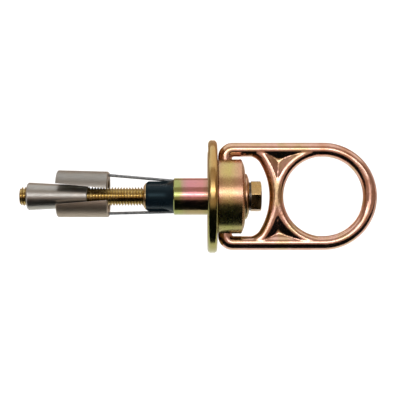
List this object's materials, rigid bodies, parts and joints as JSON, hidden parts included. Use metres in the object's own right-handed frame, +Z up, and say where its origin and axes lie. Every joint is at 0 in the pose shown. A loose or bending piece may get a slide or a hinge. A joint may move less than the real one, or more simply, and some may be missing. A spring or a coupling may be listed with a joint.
{
  "type": "swivel hoist ring",
  "caption": "Swivel hoist ring with a pivoting forged bail and a removable wedge shank that expands in a drilled hole.",
  "frame": {"origin": "centre of the flange's seating face, on the bolt axis", "axes": "+X along the bolt axis towards the ring, away from the shank; +Z up in the ring's plane at rest, along the bail's pivot; Y across the ring"},
  "size_m": [0.2404, 0.0762, 0.0762],
  "materials": {
    "yellow_zinc": "satin yellow chromate over zinc",
    "gold_zinc": "glossy gold chromate over zinc",
    "brass_zinc": "gold chromate on a bolt",
    "turned_steel": "fine turned",
    "wire_rope": "galvanised strands",
    "black_rubber": "glossy",
    "bronze": "machined",
    "copper_swage": "swaged"
  },
  "bodies": {
    "base": {"flange_plate": "yellow_zinc", "anchor_collar": "yellow_zinc", "guide_tube": "brass_zinc", "rubber_sleeve": "black_rubber", "bearing_bush": "gold_zinc", "lower_thrust_washer": "bronze", "collar_ferrule_upper": "copper_swage", "collar_ferrule_lower": "copper_swage"},
    "swivel": {"swivel_body": "yellow_zinc", "upper_thrust_washer": "bronze"},
    "ring": {"bail": "gold_zinc"},
    "bolt": {"hex_bolt": "brass_zinc", "head_washer": "turned_steel"},
    "cone": {"cone_nut": "turned_steel"},
    "upper_cable": {"cable_upper": "wire_rope"},
    "lower_cable": {"cable_lower": "wire_rope"},
    "upper_wedge": {"wedge_upper": "turned_steel", "wedge_ferrule_upper": "copper_swage"},
    "lower_wedge": {"wedge_lower": "turned_steel", "wedge_ferrule_lower": "copper_swage"}
  },
  "joints": [
    {"name": "swivel_spin", "type": "hinge", "parent": "base", "child": "swivel", "pos_m": [0.0158, 0, 0], "axis": [1, 0, 0], "continuous": true},
    {"name": "bail_pivot", "type": "hinge", "parent": "swivel", "child": "ring", "pos_m": [0.01175, 0, 0], "axis": [0, 0, 1], "range_deg": [-90, 90]},
    {"name": "bolt_turn", "type": "hinge", "parent": "base", "child": "bolt", "pos_m": [0, 0, 0], "axis": [-1, 0, 0], "range_deg": [-1440, 2880]},
    {"name": "cone_draw", "type": "slide", "parent": "base", "child": "cone", "axis": [1, 0, 0], "range_m": [-0.00782, 0.01563]},
    {"name": "cable_upper_flex", "type": "hinge", "parent": "base", "child": "upper_cable", "pos_m": [-0.0227, 0, 0.01048], "axis": [0, 1, 0], "range_deg": [-5.81, 4.2]},
    {"name": "wedge_upper_rock", "type": "hinge", "parent": "upper_cable", "child": "upper_wedge", "pos_m": [-0.0665, 0, 0.01423], "axis": [0, 1, 0], "range_deg": [-3.12, 4.32]},
    {"name": "cable_lower_flex", "type": "hinge", "parent": "base", "child": "lower_cable", "pos_m": [-0.0227, 0, -0.01048], "axis": [0, -1, 0], "range_deg": [-2.29, 7.6]},
    {"name": "wedge_lower_rock", "type": "hinge", "parent": "lower_cable", "child": "lower_wedge", "pos_m": [-0.0665, 0, -0.01153], "axis": [0, -1, 0], "range_deg": [-7.61, 2.3]}
  ],
  "couplings": [
    {"joint": "cone_draw", "follows": "bolt_turn", "m_per_rad": 0.00031096},
    {"joint": "wedge_upper_rock", "follows": "cable_upper_flex", "ratio": -0.7416},
    {"joint": "wedge_lower_rock", "follows": "cable_lower_flex", "ratio": -1}
  ]
}
